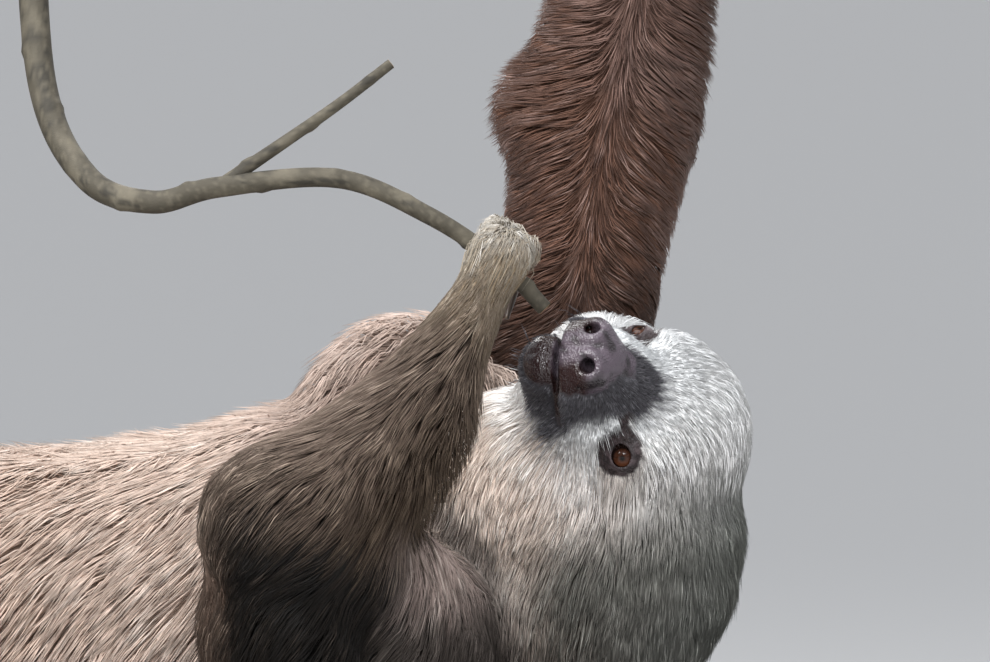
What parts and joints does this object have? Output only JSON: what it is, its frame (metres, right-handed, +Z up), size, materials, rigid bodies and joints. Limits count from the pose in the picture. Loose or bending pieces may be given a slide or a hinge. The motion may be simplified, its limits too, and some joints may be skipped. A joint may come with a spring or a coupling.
{
  "type": "two-toed sloth",
  "caption": "Life-size still model of a two-toed sloth hanging belly up from a cut branch, held on a display stand with a flat base and two rods.",
  "frame": {"origin": "middle of the stand's base, on the floor", "axes": "+X towards the head end along the perch, -Y towards the side that the face is turned to (the animal's left), +Z up"},
  "size_m": [0.84, 0.38, 0.6087],
  "materials": {
    "cream_fur": "pale cream to greyish beige hair of face, crown, nape and near hand",
    "nose_skin": "bare dark brown skin, moist and glossy on nose and lips, short dark fur behind",
    "tan_fur": "long pinkish tan hair of the trunk",
    "brown_fur": "long dark brown hair with pale strands",
    "russet_fur": "long reddish brown hair",
    "claw_horn": "dull brown-grey horn",
    "eye": "wet, dark reddish brown",
    "bark": "grey-brown smooth bark with lenticels and cut ends",
    "stand_paint": "satin black paint on a wooden plate",
    "rod_steel": "satin steel"
  },
  "bodies": {
    "root": {"head": "cream_fur", "neck": "cream_fur", "left_ear": "cream_fur", "right_ear": "cream_fur", "left_hand": "cream_fur", "muzzle": "nose_skin", "lower_jaw": "nose_skin", "chest": "tan_fur", "abdomen": "tan_fur", "pelvis": "tan_fur", "left_upper_arm": "brown_fur", "left_forearm": "brown_fur", "left_thigh": "brown_fur", "left_shank": "brown_fur", "left_foot": "brown_fur", "right_thigh": "brown_fur", "right_shank": "brown_fur", "right_foot": "brown_fur", "right_upper_arm": "russet_fur", "right_forearm": "russet_fur", "right_hand": "russet_fur", "left_foot_claw_1": "claw_horn", "left_foot_claw_2": "claw_horn", "left_foot_claw_3": "claw_horn", "right_foot_claw_1": "claw_horn", "right_foot_claw_2": "claw_horn", "right_foot_claw_3": "claw_horn", "left_hand_claw_1": "claw_horn", "left_hand_claw_2": "claw_horn", "right_hand_claw_1": "claw_horn", "right_hand_claw_2": "claw_horn", "left_eye": "eye", "right_eye": "eye", "perch_branch": "bark", "perch_side_branch": "bark", "stand_base": "stand_paint", "stand_rod_head": "rod_steel", "stand_rod_rump": "rod_steel"}
  },
  "joints": []
}
